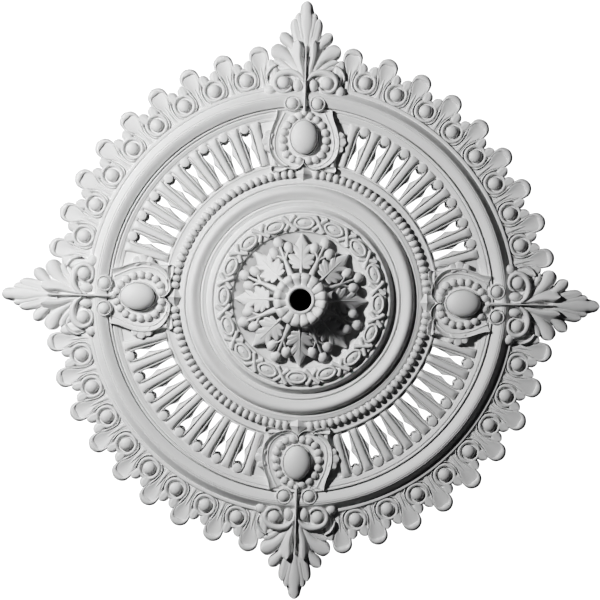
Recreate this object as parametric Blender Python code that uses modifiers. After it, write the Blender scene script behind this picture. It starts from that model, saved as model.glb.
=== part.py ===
"""Pierced ceiling rose, cast in one piece, face down under a ceiling.

The rose is drawn face up, with the flat back of the casting on z = 0 and every height measured from it.
The last step turns it over, so that the back is the top at z = 0 and the ornament hangs below it.
"""

import math

import bmesh
import bpy
from mathutils import Matrix, Vector

MM = 0.001

# Radial build-up from the middle outwards. Each value is the width of one zone.
BORE_RADIUS = 15.5 * MM
LIP_WIDTH = 4.0 * MM
ROSETTE_WIDTH = 18.5 * MM
FOLIAGE_SPAN = 60.0 * MM
RIBBON_WIDTH = 26.0 * MM
CHANNEL_WIDTH = 16.0 * MM
LEDGE_WIDTH = 4.0 * MM
HUB_ROLL_WIDTH = 19.0 * MM
STEP_WIDTH = 11.5 * MM
BEAD_SEAT_WIDTH = 14.0 * MM
BAND_WIDTH = 13.0 * MM
GALLERY_WIDTH = 61.0 * MM
REED_WIDTH = 14.5 * MM
RIM_ROLL_WIDTH = 19.0 * MM
RIM_FILLET_WIDTH = 14.0 * MM
FRINGE_LENGTH = 60.0 * MM
FINIAL_LENGTH = 120.0 * MM

# Heights above the flat back.
PLATE_THICKNESS = 13.0 * MM
BAND_HEIGHT = 18.5 * MM
STEP_HEIGHT = 27.0 * MM
HUB_ROLL_HEIGHT = 40.0 * MM
LEDGE_HEIGHT = 35.0 * MM
RIBBON_HEIGHT = 45.0 * MM
REED_HEIGHT = 19.5 * MM
RIM_GROOVE_HEIGHT = 15.0 * MM
RIM_ROLL_HEIGHT = 27.0 * MM
RIM_FILLET_HEIGHT = 17.0 * MM
CARTOUCHE_HEIGHT = 24.0 * MM
ROSETTE_HEIGHT = 90.0 * MM
ROSETTE_DEPTH = 16.0 * MM

# Counts of the pattern. A quarter runs from one finial to the next.
QUARTERS = 4
PETALS_PER_QUARTER = 9
BALUSTERS_PER_QUARTER = 9
BEADS_PER_QUARTER = 26
RIBBON_UNITS = 16
ROSETTE_PETALS = 16
LEAVES = 8

# Pitches of what is set out about the middle of a quarter, in degrees.
PETAL_PITCH = 8.5
BALUSTER_PITCH = 7.27
BEAD_PITCH = 3.2
RIBBON_TURN = 1.7
PETAL_SHOULDER = 2.1

# Ornament sizes.
PETAL_RISE = 7.0 * MM
FINIAL_GAP = 7.2 * MM
CLASP_HALF_WIDTH = 7.0 * MM
QUIRK = 1.0 * MM
FRINGE_BALL = 7.5 * MM
BALUSTER_WIDTH = 11.0 * MM
BALUSTER_RISE = 4.5 * MM
SLOT_WIDTH = 12.5 * MM
SLOT_WAIST = 4.5 * MM
SLOT_MARGIN = 3.0 * MM
SLOT_TONGUE = 8.0 * MM
BEAD_RISE = 6.0 * MM
CARTOUCHE_HALF_WIDTH = 46.0 * MM
CARTOUCHE_FOOT = 13.0 * MM
CABOCHON_HALF_WIDTH = 19.0 * MM
CABOCHON_HALF_LENGTH = 24.5 * MM
CABOCHON_RISE = 11.0 * MM
CARTOUCHE_BEAD = 4.6 * MM
VOLUTE_RADIUS = 11.0 * MM
SCROLL_RADIUS = 9.0 * MM
STEM_HALF_WIDTH = 3.0 * MM
STEM_RISE = 3.5 * MM
LEAF_THICKNESS = 5.0 * MM
STALK_HALF_WIDTH = 3.0 * MM
BERRY_RADIUS = 8.4 * MM
OVAL_HALF_LENGTH = 11.0 * MM
OVAL_HALF_WIDTH = 7.5 * MM
OVAL_RISE = 5.0 * MM
RIBBON_STRAP = 2.4 * MM
RIBBON_RISE = 3.0 * MM
POST_WALL = 8.0 * MM
FLUTE_DEPTH = 2.5 * MM

# How far one shape sinks into the next so that the two fuse, and how far a cutter runs past a face.
SINK = 3.0 * MM
CUT_PAST = 5.0 * MM
WELD = 0.01 * MM

RIM_STEPS = 36
HUB_STEPS = 28
BORE_SIDES = 24

# Radii and places worked out from the widths.
LIP_RADIUS = BORE_RADIUS + LIP_WIDTH
ROSETTE_RADIUS = LIP_RADIUS + ROSETTE_WIDTH
RECESS_RADIUS = ROSETTE_RADIUS + FOLIAGE_SPAN
RIBBON_RADIUS = RECESS_RADIUS + RIBBON_WIDTH
CHANNEL_RADIUS = RIBBON_RADIUS + CHANNEL_WIDTH
LEDGE_RADIUS = CHANNEL_RADIUS + LEDGE_WIDTH
HUB_ROLL_RADIUS = LEDGE_RADIUS + HUB_ROLL_WIDTH
STEP_RADIUS = HUB_ROLL_RADIUS + STEP_WIDTH
BEAD_RADIUS = STEP_RADIUS + BEAD_SEAT_WIDTH
BAND_RADIUS = BEAD_RADIUS + BAND_WIDTH
GALLERY_RADIUS = BAND_RADIUS + GALLERY_WIDTH
REED_RADIUS = GALLERY_RADIUS + REED_WIDTH
RIM_ROLL_RADIUS = REED_RADIUS + RIM_ROLL_WIDTH
RIM_RADIUS = RIM_ROLL_RADIUS + RIM_FILLET_WIDTH
SHOULDER_RADIUS = RIM_RADIUS + 0.78 * FRINGE_LENGTH
CARTOUCHE_LENGTH = REED_RADIUS - BAND_RADIUS + CARTOUCHE_FOOT
CARTOUCHE_START = BAND_RADIUS - CARTOUCHE_FOOT
CABOCHON_CENTRE = BAND_RADIUS + 0.54 * GALLERY_WIDTH

# A finial fills the room between the two end petals beside it, but for a gap on each side.
END_PETAL = 180 / QUARTERS - PETAL_PITCH * (PETALS_PER_QUARTER - 1) / 2
FINIAL_HALF_WIDTH = SHOULDER_RADIUS * math.sin(math.radians(END_PETAL - PETAL_SHOULDER)) - FINIAL_GAP

# Right half of a finial's plan, from the rim to the tip, in shares of its half width and of its length.
FINIAL_HALF = [
    (1.00, 0.01),
    (0.90, 0.12),
    (0.72, 0.19),
    (0.88, 0.28),
    (1.00, 0.43),
    (0.85, 0.53),
    (0.75, 0.60),
    (0.52, 0.67),
    (0.48, 0.74),
    (0.32, 0.825),
    (0.21, 0.83),
    (0.25, 0.90),
    (0.10, 0.99),
]

# Raised lobes on one side of a finial: share of its half width across, share of its length along,
# half width, half length and rise in shares of its half width, and lean in degrees.
FINIAL_LOBES = [
    (0.62, 0.42, 0.19, 0.32, 0.27, 68),
    (0.50, 0.25, 0.12, 0.27, 0.22, 80),
    (0.48, 0.56, 0.14, 0.25, 0.22, 50),
    (0.28, 0.70, 0.11, 0.27, 0.22, 20),
    (0.19, 0.43, 0.15, 0.37, 0.35, 8),
]

# Right half of a cartouche's plan, in shares of its half width and of its length.
CARTOUCHE_HALF = [
    (0.96, 0.02),
    (0.66, 0.16),
    (0.92, 0.38),
    (1.00, 0.62),
    (0.86, 0.97),
    (0.50, 0.90),
    (0.28, 0.99),
]

# Right half of a leaf's plan from the boss to its tip, in shares of its length.
LEAF_HALF = [
    (0.04, -0.10),
    (0.09, 0.20),
    (0.29, 0.38),
    (0.10, 0.52),
    (0.16, 0.75),
    (0.03, 1.04),
]


def clear_scene():
    for thing in list(bpy.data.objects):
        bpy.data.objects.remove(thing)


def turn(degrees):
    return Matrix.Rotation(math.radians(degrees), 4, "Z")


def shift(across, along, height=0.0):
    return Matrix.Translation((across, along, height))


def polar(degrees, radius):
    """A point at that angle clockwise from the +Y axis."""
    angle = math.radians(degrees)
    return (radius * math.sin(angle), radius * math.cos(angle))


def mirrored(half, across=1.0, along=1.0, start=0.0):
    """A whole outline from its right half, scaled and moved along."""
    right = [(x * across, start + y * along) for x, y in half]
    return [(-x, y) for x, y in right] + right[::-1]


def quarter_turns(pitch, count):
    """Clockwise angles of a row of copies centred on the middle of each quarter."""
    for quarter in range(QUARTERS):
        for step in range(count):
            yield 360 / QUARTERS * (quarter + 0.5) + pitch * (step - (count - 1) / 2)


def axis_turns():
    """One turn for each of the finials' axes."""
    return [turn(-360 / QUARTERS * quarter) for quarter in range(QUARTERS)]


def evaluated_mesh(source):
    """The object's mesh as its modifiers leave it, welded and facing out. The object is removed."""
    bpy.context.view_layer.update()
    graph = bpy.context.evaluated_depsgraph_get()
    mesh = bpy.data.meshes.new_from_object(source.evaluated_get(graph))
    bpy.data.objects.remove(source)
    shape = bmesh.new()
    shape.from_mesh(mesh)
    bmesh.ops.remove_doubles(shape, verts=shape.verts, dist=WELD)
    bmesh.ops.recalc_face_normals(shape, faces=shape.faces)
    shape.to_mesh(mesh)
    shape.free()
    return mesh


def slab(outlines, low, high):
    """Closed plan outlines filled and raised from low to high. An outline inside another is a hole."""
    curve = bpy.data.curves.new("outline", "CURVE")
    curve.dimensions = "2D"
    curve.fill_mode = "BOTH"
    curve.extrude = (high - low) / 2
    for outline in outlines:
        spline = curve.splines.new("POLY")
        spline.points.add(len(outline) - 1)
        for point, (across, along) in zip(spline.points, outline):
            point.co = (across, along, 0, 1)
        spline.use_cyclic_u = True
    made = bpy.data.objects.new("outline", curve)
    bpy.context.scene.collection.objects.link(made)
    mesh = evaluated_mesh(made)
    mesh.transform(shift(0, 0, (low + high) / 2))
    return mesh


def turned(profile, steps):
    """A closed profile of (radius, height), run down its outer side, turned about the axis."""
    mesh = bpy.data.meshes.new("profile")
    points = [(radius, 0, height) for radius, height in profile]
    mesh.from_pydata(points, [(n, (n + 1) % len(points)) for n in range(len(points))], [])
    made = bpy.data.objects.new("profile", mesh)
    bpy.context.scene.collection.objects.link(made)
    screw = made.modifiers.new("Screw", "SCREW")
    screw.steps = screw.render_steps = steps
    screw.use_merge_vertices = True
    screw.merge_threshold = WELD
    mesh = evaluated_mesh(made)
    mesh.shade_smooth()
    mesh.set_sharp_from_angle(angle=math.radians(25))
    return mesh


def stud(half_width, half_length, low, high, sides=4, top_share=0.0):
    """A pyramid, or with a top share a stud with a flat top, that fills the given box."""
    shape = bmesh.new()
    fill = 1 / math.cos(math.pi / sides) if sides == 4 else 1
    bmesh.ops.create_cone(
        shape,
        segments=sides,
        cap_ends=True,
        radius1=fill,
        radius2=fill * top_share,
        depth=high - low,
    )
    if sides == 4:
        bmesh.ops.rotate(shape, matrix=turn(45), verts=shape.verts)
    bmesh.ops.scale(shape, vec=(half_width, half_length, 1), verts=shape.verts)
    bmesh.ops.translate(shape, vec=(0, 0, (low + high) / 2), verts=shape.verts)
    mesh = bpy.data.meshes.new("stud")
    shape.to_mesh(mesh)
    shape.free()
    return mesh


def kite(half_width, half_length, low, high):
    """A four-sided point whose corners lie on the two axes, which stands for one lobe."""
    mesh = stud(0.7071, 0.7071, low, high)
    mesh.transform(turn(45))
    mesh.transform(Matrix.Diagonal((half_width, half_length, 1, 1)))
    return mesh


def roofed(mesh):
    """The slab with its top face drawn together over its middle, so that its arms slope down."""
    shape = bmesh.new()
    shape.from_mesh(mesh)
    height = max(vertex.co.z for vertex in shape.verts)
    top = [vertex for vertex in shape.verts if vertex.co.z > height - WELD]
    bmesh.ops.pointmerge(shape, verts=top, merge_co=(0, 0, height))
    shape.to_mesh(mesh)
    shape.free()
    return mesh


def dome(half_width, half_length, low, high, sides):
    """A two-step faceted dome."""
    middle = low + 0.62 * (high - low)
    base = stud(half_width, half_length, low, middle, sides, 0.78)
    cap = stud(0.78 * half_width, 0.78 * half_length, middle, high, sides)
    shape = bmesh.new()
    shape.from_mesh(base)
    shape.from_mesh(cap)
    level = [face for face in shape.faces if abs(face.normal.z) > 0.99]
    doubled = [face for face in level if face.calc_center_median().z > low + WELD]
    bmesh.ops.delete(shape, geom=doubled, context="FACES_ONLY")
    bmesh.ops.remove_doubles(shape, verts=shape.verts, dist=WELD)
    mesh = bpy.data.meshes.new("dome")
    shape.to_mesh(mesh)
    shape.free()
    return mesh


class Shapes:
    """A collection of helper meshes that a Boolean takes together."""

    def __init__(self, name):
        self.collection = bpy.data.collections.new(name)
        bpy.context.scene.collection.children.link(self.collection)

    def add(self, mesh, place=Matrix.Identity(4)):
        # Each helper is turned over with the casting.
        made = bpy.data.objects.new(mesh.name, mesh)
        made.matrix_world = Matrix.Rotation(math.pi, 4, "Y") @ place
        made.hide_render = True
        made.display_type = "WIRE"
        self.collection.objects.link(made)


def fringe_outline(start):
    """Plan of one quarter's fringe, clockwise from its first petal."""
    valley = RIM_RADIUS + 0.40 * FRINGE_LENGTH
    lobe = RIM_RADIUS + 0.66 * FRINGE_LENGTH
    crown = RIM_RADIUS + FRINGE_LENGTH
    shoulder = (PETAL_SHOULDER, SHOULDER_RADIUS)
    petal = mirrored([shoulder, (0.9, crown)])
    between = [(-2.5, valley), (-1.4, lobe), (1.4, lobe), (2.5, valley)]
    points = []
    for count in range(PETALS_PER_QUARTER):
        angle = start + count * PETAL_PITCH
        points += [polar(angle + turned_by, radius) for turned_by, radius in petal]
        if count < PETALS_PER_QUARTER - 1:
            middle = angle + PETAL_PITCH / 2
            points += [polar(middle + turned_by, radius) for turned_by, radius in between]
    return points


def plate_outline():
    """The whole plan of the rose: four finials with the fringe between them."""
    finial = mirrored(FINIAL_HALF, FINIAL_HALF_WIDTH, FINIAL_LENGTH, RIM_RADIUS)
    reach = PETAL_PITCH * (PETALS_PER_QUARTER - 1) / 2
    valley = RIM_RADIUS + 0.25 * FRINGE_LENGTH
    points = []
    for quarter, axis in enumerate(axis_turns()):
        middle = 360 / QUARTERS * (quarter + 0.5)
        points += [tuple((axis @ Vector((x, y, 0)))[:2]) for x, y in finial]
        points.append(polar(middle - reach - 2.6, valley))
        points += fringe_outline(middle - reach)
        points.append(polar(middle + reach + 2.6, valley))
    return points


def slot_outline(degrees):
    """One slot of the gallery: a wide head and a narrower foot joined by a waist."""
    start = BAND_RADIUS + SLOT_MARGIN
    stop = GALLERY_RADIUS - SLOT_MARGIN - SLOT_TONGUE
    waist = start + 0.45 * (stop - start)
    half = [(0.4 * SLOT_WIDTH, start), (0.5 * SLOT_WAIST, waist), (0.5 * SLOT_WIDTH, stop)]
    place = turn(-degrees)
    return [tuple((place @ Vector((x, y, 0)))[:2]) for x, y in mirrored(half)]


def rim_profile():
    """Reeds, roll and fillet of the outer moulding."""
    return [
        (GALLERY_RADIUS, REED_HEIGHT),
        (REED_RADIUS, REED_HEIGHT - 3 * QUIRK),
        (REED_RADIUS + 0.35 * RIM_ROLL_WIDTH, RIM_ROLL_HEIGHT - QUIRK),
        (REED_RADIUS + 0.75 * RIM_ROLL_WIDTH, RIM_ROLL_HEIGHT),
        (RIM_ROLL_RADIUS, RIM_GROOVE_HEIGHT),
        (RIM_RADIUS, RIM_FILLET_HEIGHT),
        (RIM_RADIUS, PLATE_THICKNESS - SINK),
        (GALLERY_RADIUS, PLATE_THICKNESS - SINK),
    ]


def hub_profile():
    """Ribbon ring, channel, ledge, roll, step and band of the inner moulding."""
    return [
        (RECESS_RADIUS, RIBBON_HEIGHT),
        (RIBBON_RADIUS, RIBBON_HEIGHT),
        (RIBBON_RADIUS + QUIRK, LEDGE_HEIGHT - QUIRK),
        (CHANNEL_RADIUS, LEDGE_HEIGHT + QUIRK),
        (LEDGE_RADIUS, LEDGE_HEIGHT),
        (LEDGE_RADIUS + 0.28 * HUB_ROLL_WIDTH, HUB_ROLL_HEIGHT),
        (LEDGE_RADIUS + 0.62 * HUB_ROLL_WIDTH, HUB_ROLL_HEIGHT - QUIRK),
        (HUB_ROLL_RADIUS, STEP_HEIGHT + 2 * QUIRK),
        (STEP_RADIUS, STEP_HEIGHT - QUIRK),
        (STEP_RADIUS, BAND_HEIGHT),
        (BAND_RADIUS, BAND_HEIGHT),
        (BAND_RADIUS, PLATE_THICKNESS - SINK),
        (RECESS_RADIUS, PLATE_THICKNESS - SINK),
    ]


def rosette():
    """The fluted boss, which tapers down to its post in the recess. The bore is cut later."""
    edge = ROSETTE_HEIGHT - 0.5 * ROSETTE_DEPTH
    profile = [
        (LIP_RADIUS, ROSETTE_HEIGHT),
        (LIP_RADIUS + 0.55 * ROSETTE_WIDTH, ROSETTE_HEIGHT - 0.1 * ROSETTE_DEPTH),
        (ROSETTE_RADIUS, edge),
        (BORE_RADIUS + POST_WALL, PLATE_THICKNESS - SINK),
        (0.5 * BORE_RADIUS, PLATE_THICKNESS - SINK),
        (0.5 * BORE_RADIUS, ROSETTE_HEIGHT),
    ]
    mesh = turned(profile, 2 * ROSETTE_PETALS)
    for vertex in mesh.vertices:
        radius = math.hypot(vertex.co.x, vertex.co.y)
        step = round(math.degrees(math.atan2(vertex.co.y, vertex.co.x)) * ROSETTE_PETALS / 180)
        if step % 2 == 0 and radius > LIP_RADIUS + WELD and vertex.co.z > edge - WELD:
            inward = 1 - FLUTE_DEPTH / radius
            vertex.co = (vertex.co.x * inward, vertex.co.y * inward, vertex.co.z - 0.5 * FLUTE_DEPTH)
    return mesh


def add_fringe(carving):
    """Raised petals that turn up towards their tips, and the balls between them."""
    low = PLATE_THICKNESS - SINK
    petal = kite(0.15 * FRINGE_LENGTH, 0.44 * FRINGE_LENGTH, low, PLATE_THICKNESS + PETAL_RISE)
    ball = stud(FRINGE_BALL, FRINGE_BALL, low, PLATE_THICKNESS + FRINGE_BALL)
    for angle in quarter_turns(PETAL_PITCH, PETALS_PER_QUARTER):
        carving.add(petal, turn(-angle) @ shift(0, RIM_RADIUS + 0.52 * FRINGE_LENGTH))
    for angle in quarter_turns(PETAL_PITCH, PETALS_PER_QUARTER - 1):
        carving.add(ball, turn(-angle) @ shift(0, RIM_RADIUS + 0.22 * FRINGE_LENGTH))


def add_balusters(carving):
    """Raised bars between the slots, from the band to the reeds."""
    half = BALUSTER_WIDTH / 2
    flare = 1.18
    outline = mirrored([(half, BAND_RADIUS - SINK), (half * flare, GALLERY_RADIUS + SINK)])
    bar = slab([outline], PLATE_THICKNESS - SINK, PLATE_THICKNESS + BALUSTER_RISE)
    for angle in quarter_turns(BALUSTER_PITCH, BALUSTERS_PER_QUARTER):
        carving.add(bar, turn(-angle))


def add_beads(carving):
    """The ring of beads on its seat, with a larger diamond on each axis."""
    seat = STEP_RADIUS + BEAD_SEAT_WIDTH / 2
    half_pitch = seat * math.radians(BEAD_PITCH) / 2
    low = BAND_HEIGHT - SINK
    bead = stud(1.35 * half_pitch, 0.42 * BEAD_SEAT_WIDTH, low, BAND_HEIGHT + BEAD_RISE)
    for angle in quarter_turns(BEAD_PITCH, BEADS_PER_QUARTER):
        carving.add(bead, turn(-angle) @ shift(0, seat))
    diamond = kite(0.7 * BEAD_SEAT_WIDTH, 0.6 * BEAD_SEAT_WIDTH, low, BAND_HEIGHT + 1.5 * BEAD_RISE)
    for axis in axis_turns():
        carving.add(diamond, axis @ shift(0, seat))


def add_finials(carving):
    """The four pointed leaves with their stems, side lobes and volutes."""
    length = FINIAL_LENGTH
    half = FINIAL_HALF_WIDTH
    low = PLATE_THICKNESS - SINK
    stem_half = [(STEM_HALF_WIDTH, GALLERY_RADIUS + SINK), (STEM_HALF_WIDTH, RIM_RADIUS + 0.55 * length)]
    stem = slab([mirrored(stem_half)], low, RIM_ROLL_HEIGHT + STEM_RISE)
    tip = kite(0.16 * half, 0.17 * length, low, PLATE_THICKNESS + 0.2 * half)
    volute = stud(VOLUTE_RADIUS, VOLUTE_RADIUS, low, RIM_ROLL_HEIGHT + STEM_RISE, 6)
    scroll = stud(SCROLL_RADIUS, SCROLL_RADIUS, low, RIM_ROLL_HEIGHT + 3 * STEM_RISE)
    lobes = []
    for across, along, wide, reach, rise, lean in FINIAL_LOBES:
        mesh = kite(wide * half, reach * half, low, PLATE_THICKNESS + rise * half)
        lobes.append((mesh, across * half, RIM_RADIUS + along * length, lean))
    for axis in axis_turns():
        carving.add(stem, axis)
        carving.add(tip, axis @ shift(0, RIM_RADIUS + 0.8 * length))
        for side in (-1, 1):
            carving.add(volute, axis @ shift(side * 2.5 * VOLUTE_RADIUS, RIM_RADIUS + 0.1 * VOLUTE_RADIUS))
            carving.add(scroll, axis @ shift(side * 1.9 * SCROLL_RADIUS, REED_RADIUS + 0.6 * SCROLL_RADIUS))
            for mesh, across, along, lean in lobes:
                carving.add(mesh, axis @ shift(side * across, along) @ turn(-side * lean))


def add_cartouches(carving):
    """Plate, cabochon and beads of the four cartouches that stand over the gallery."""
    low = PLATE_THICKNESS - SINK
    plan = mirrored(CARTOUCHE_HALF, CARTOUCHE_HALF_WIDTH, CARTOUCHE_LENGTH, CARTOUCHE_START)
    plate = slab([plan], low, CARTOUCHE_HEIGHT)
    seat = CARTOUCHE_HEIGHT - SINK
    cabochon = dome(CABOCHON_HALF_WIDTH, CABOCHON_HALF_LENGTH, seat, CARTOUCHE_HEIGHT + CABOCHON_RISE, 8)
    collar_width = CABOCHON_HALF_WIDTH + 3 * CARTOUCHE_BEAD
    collar_length = CABOCHON_HALF_LENGTH + 2.3 * CARTOUCHE_BEAD
    collar = stud(collar_width, collar_length, seat, CARTOUCHE_HEIGHT + CARTOUCHE_BEAD, 10, 0.85)
    clasp = kite(CLASP_HALF_WIDTH, 0.2 * CARTOUCHE_LENGTH, low, CARTOUCHE_HEIGHT - QUIRK)
    for axis in axis_turns():
        carving.add(plate, axis)
        carving.add(collar, axis @ shift(0, CABOCHON_CENTRE))
        carving.add(cabochon, axis @ shift(0, CABOCHON_CENTRE, CARTOUCHE_BEAD))
        for side in (-1, 1):
            carving.add(clasp, axis @ shift(side * CARTOUCHE_HALF_WIDTH, CABOCHON_CENTRE - CARTOUCHE_BEAD))


def add_ribbon(carving):
    """Ovals and crossed ribbons on the top of the hub's inner ring."""
    middle = RECESS_RADIUS + 0.5 * RIBBON_WIDTH
    low = RIBBON_HEIGHT - SINK
    oval = stud(OVAL_HALF_LENGTH, OVAL_HALF_WIDTH, low, RIBBON_HEIGHT + OVAL_RISE, 6)
    reach = 0.46 * RIBBON_WIDTH
    cross = [
        (0, RIBBON_STRAP),
        (0.7 * reach, reach),
        (RIBBON_STRAP, 0),
        (0.7 * reach, -reach),
        (0, -RIBBON_STRAP),
        (-0.7 * reach, -reach),
        (-RIBBON_STRAP, 0),
        (-0.7 * reach, reach),
    ]
    ribbons = roofed(slab([cross], low, RIBBON_HEIGHT + RIBBON_RISE))
    pitch = 360 / RIBBON_UNITS
    for count in range(RIBBON_UNITS):
        angle = RIBBON_TURN + pitch * count
        carving.add(oval, turn(-angle) @ shift(0, middle))
        carving.add(ribbons, turn(-angle - pitch / 2) @ shift(0, middle))


def add_foliage(carving):
    """Leaves, stalks and berries that span the recess from the boss to the ribbon ring."""
    start = ROSETTE_HEIGHT - 0.75 * ROSETTE_DEPTH
    drop = start - RIBBON_HEIGHT
    slope = Matrix.Rotation(-math.atan2(drop, FOLIAGE_SPAN), 4, "X")
    length = math.hypot(drop, FOLIAGE_SPAN)
    foot = shift(0, ROSETTE_RADIUS, start) @ slope
    leaf = slab([mirrored(LEAF_HALF, length, length)], -LEAF_THICKNESS / 2, LEAF_THICKNESS / 2)
    side_berry = (1.35 * BERRY_RADIUS, length - 2.3 * BERRY_RADIUS)
    stalk_half = [(STALK_HALF_WIDTH, -0.12 * length), (0.6 * STALK_HALF_WIDTH, 0.36 * length), side_berry]
    stalk_plan = mirrored(stalk_half + [(QUIRK, 0.95 * length)])
    stalk = slab([stalk_plan], -0.6 * LEAF_THICKNESS, 0.3 * LEAF_THICKNESS)
    shape = bmesh.new()
    bmesh.ops.create_uvsphere(shape, u_segments=4, v_segments=2, radius=BERRY_RADIUS)
    berry = bpy.data.meshes.new("berry")
    shape.to_mesh(berry)
    shape.free()
    for count in range(LEAVES):
        angle = 360 / LEAVES * count
        carving.add(leaf, turn(-angle) @ foot)
        between = turn(-angle - 180 / LEAVES) @ foot
        carving.add(stalk, between)
        carving.add(berry, between @ shift(0, length - 0.8 * BERRY_RADIUS))
        for side in (-1, 1):
            carving.add(berry, between @ shift(side * side_berry[0], side_berry[1]))


def bore():
    shape = bmesh.new()
    depth = ROSETTE_HEIGHT + 2 * CUT_PAST
    bmesh.ops.create_cone(
        shape, segments=BORE_SIDES, cap_ends=True, radius1=BORE_RADIUS, radius2=BORE_RADIUS, depth=depth
    )
    bmesh.ops.translate(shape, vec=(0, 0, depth / 2 - CUT_PAST), verts=shape.verts)
    mesh = bpy.data.meshes.new("bore")
    shape.to_mesh(mesh)
    shape.free()
    return mesh


def white_casting():
    material = bpy.data.materials.new("white_casting")
    material.use_nodes = True
    shader = material.node_tree.nodes["Principled BSDF"]
    shader.inputs["Base Color"].default_value = (0.82, 0.82, 0.81, 1)
    shader.inputs["Roughness"].default_value = 0.55
    shader.inputs["Metallic"].default_value = 0.0
    return material


def fuse(rose, shapes, operation):
    step = rose.modifiers.new(operation.title(), "BOOLEAN")
    step.operation = operation
    step.operand_type = "COLLECTION"
    step.collection = shapes.collection
    step.solver = "EXACT"


def build():
    clear_scene()
    carving = Shapes("carving")
    carving.add(turned(rim_profile(), RIM_STEPS))
    carving.add(turned(hub_profile(), HUB_STEPS))
    carving.add(rosette())
    add_fringe(carving)
    add_balusters(carving)
    add_beads(carving)
    add_finials(carving)
    add_cartouches(carving)
    add_ribbon(carving)
    add_foliage(carving)
    cutters = Shapes("cutters")
    cutters.add(bore())
    slots = [slot_outline(angle) for angle in quarter_turns(BALUSTER_PITCH, BALUSTERS_PER_QUARTER - 1)]
    rose = bpy.data.objects.new("ceiling_rose", slab([plate_outline()] + slots, 0, PLATE_THICKNESS))
    rose.rotation_euler = (0, math.pi, 0)
    rose.data.materials.append(white_casting())
    parts = bpy.data.collections.new("ceiling rose")
    bpy.context.scene.collection.children.link(parts)
    parts.objects.link(rose)
    fuse(rose, carving, "UNION")
    fuse(rose, cutters, "DIFFERENCE")


build()
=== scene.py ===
# %% [markdown]
# # A pierced ceiling rose
#
# A ceiling rose is a cast ornament that hangs flat under a ceiling, round the cable of a lamp.
# The solid model already gives its size and its main shapes. This script adds what the eye looks
# for: thin reeds, hooded petals, folded leaves, separate beads and a painted, slightly grainy skin.

# %% Load the solid model and keep its size
import math

import bmesh
import bpy
import numpy as np
from mathutils import Matrix, Vector


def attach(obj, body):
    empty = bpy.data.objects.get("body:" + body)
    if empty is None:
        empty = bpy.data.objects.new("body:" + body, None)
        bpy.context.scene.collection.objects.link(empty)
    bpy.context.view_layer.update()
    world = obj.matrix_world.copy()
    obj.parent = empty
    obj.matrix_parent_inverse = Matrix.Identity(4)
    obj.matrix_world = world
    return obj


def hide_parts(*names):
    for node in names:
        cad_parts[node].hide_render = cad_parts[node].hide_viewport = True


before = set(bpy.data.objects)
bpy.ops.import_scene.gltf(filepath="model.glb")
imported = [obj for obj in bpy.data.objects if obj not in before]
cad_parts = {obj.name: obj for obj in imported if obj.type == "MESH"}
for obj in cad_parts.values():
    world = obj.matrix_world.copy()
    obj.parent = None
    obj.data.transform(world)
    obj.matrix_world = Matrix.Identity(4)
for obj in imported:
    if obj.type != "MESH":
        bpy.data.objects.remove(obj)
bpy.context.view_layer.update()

# %% [markdown]
# ## Drawn face up, hung face down
#
# Relief is easiest to think about lying on a bench: the back is at height 0 and the ornament rises
# towards the carver. So every shape below is drawn face up, in metres, with x across and y along.
# One half turn about the y axis then hangs it under the ceiling. Each value in the drawing is a
# real size in millimetres times `MM`.

# %% The bench and the ceiling
MM = 0.001
FACE_DOWN = Matrix.Rotation(math.pi, 4, "Y")
FINIALS = 4


def clockwise(degrees):
    """A turn on the bench, clockwise as the viewer sees it."""
    return Matrix.Rotation(-math.radians(degrees), 4, "Z")


def moved(across, along, height=0.0):
    return Matrix.Translation((across, along, height))


MIRRORED = Matrix.Diagonal((-1, 1, 1, 1))
AXES = [clockwise(360 / FINIALS * count) for count in range(FINIALS)]
BOTH_SIDES = [axis @ side for axis in AXES for side in (Matrix.Identity(4), MIRRORED)]


def quarter_angles(pitch, count):
    """Angles of a row of copies that is centred between each two finials."""
    middles = [360 / FINIALS * (quarter + 0.5) for quarter in range(FINIALS)]
    return [middle + pitch * (step - (count - 1) / 2) for middle in middles for step in range(count)]


def spots(places, across, along):
    """The point this far across and along, in millimetres, at each of the places."""
    return [place @ moved(across * MM, along * MM) for place in places]


# %% [markdown]
# ## Collecting shapes into a piece
#
# The whole rose is one casting, but a mesh of a million faces is hard to handle. So the scene
# holds one object for each family of ornament. `Piece` gathers copies of small shapes in one
# bmesh. A mirrored copy comes out with its faces inside out, so those are turned back.

# %% A piece that gathers shapes
class Piece:
    def __init__(self, name):
        self.name = name
        self.shape = bmesh.new()

    def add(self, shape, places=(Matrix.Identity(4),)):
        """Copies of the shape at each place. The shape itself is used up."""
        pattern = bpy.data.meshes.new("pattern")
        shape.to_mesh(pattern)
        shape.free()
        for place in places:
            old_points = len(self.shape.verts)
            old_faces = len(self.shape.faces)
            self.shape.from_mesh(pattern)
            self.shape.verts.ensure_lookup_table()
            self.shape.faces.ensure_lookup_table()
            bmesh.ops.transform(self.shape, matrix=place, verts=self.shape.verts[old_points:])
            if place.determinant() < 0:
                bmesh.ops.reverse_faces(self.shape, faces=self.shape.faces[old_faces:])
        bpy.data.meshes.remove(pattern)

    def hang(self, material, crease=38):
        """Turns the piece face down, smooths it between creases and fixes it to the rose."""
        bmesh.ops.transform(self.shape, matrix=FACE_DOWN, verts=self.shape.verts)
        mesh = bpy.data.meshes.new(self.name)
        self.shape.to_mesh(mesh)
        self.shape.free()
        mesh.shade_smooth()
        mesh.set_sharp_from_angle(angle=math.radians(crease))
        mesh.materials.append(material)
        piece = bpy.data.objects.new(self.name, mesh)
        bpy.context.scene.collection.objects.link(piece)
        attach(piece, "root")
        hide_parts("ceiling_rose")
        corners = sum(len(face.vertices) - 2 for face in mesh.polygons)
        print(self.name, "has", corners, "triangles")
        return piece


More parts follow.
